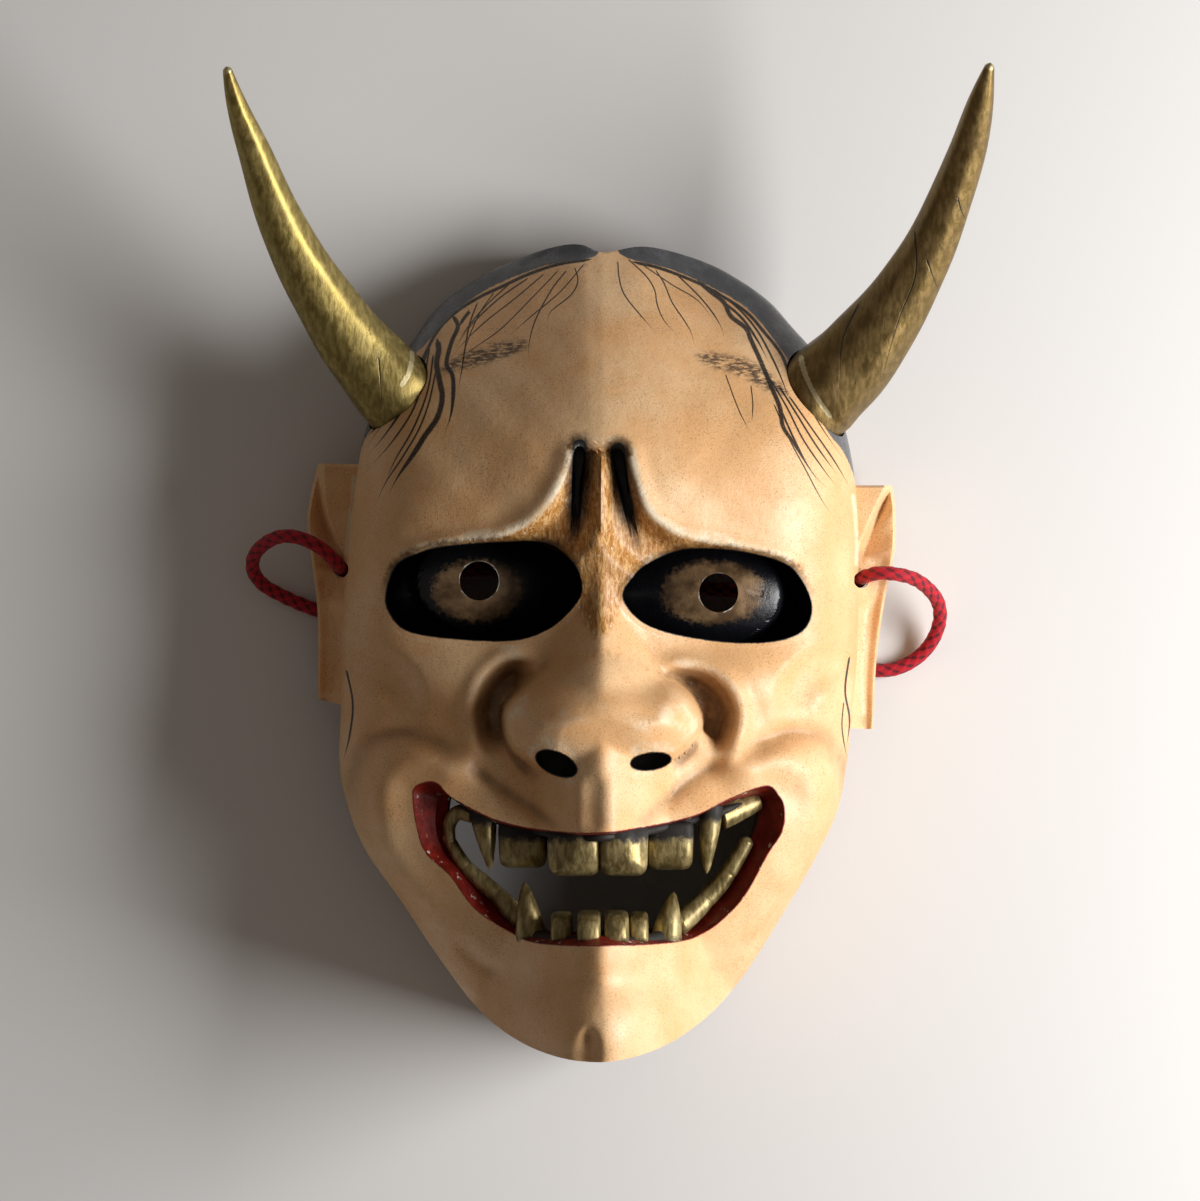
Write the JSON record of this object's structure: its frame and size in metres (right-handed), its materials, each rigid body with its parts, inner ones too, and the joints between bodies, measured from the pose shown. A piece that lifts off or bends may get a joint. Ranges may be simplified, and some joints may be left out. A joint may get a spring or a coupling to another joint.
{
  "type": "hannya mask",
  "caption": "Carved wooden demon mask with gilded horns, eyes and teeth, a hollow back and a red braided hanging cord",
  "frame": {"origin": "centre of the bottom of the bounding box of the mask and its horns, on the plane of the back rim", "axes": "+Z out of the face, +Y from the chin toward the horns, +X to the right as the face is looked at"},
  "size_m": [0.1998, 0.259, 0.084],
  "materials": {
    "painted_wood": "satin paint over a white ground, worn and speckled",
    "gilded_wood": "brushed gold paint, worn and cracked",
    "braided_cord": "round braid"
  },
  "bodies": {
    "root": {"mask_face": "painted_wood", "horn_left": "gilded_wood", "horn_right": "gilded_wood", "cord": "braided_cord"}
  },
  "joints": []
}
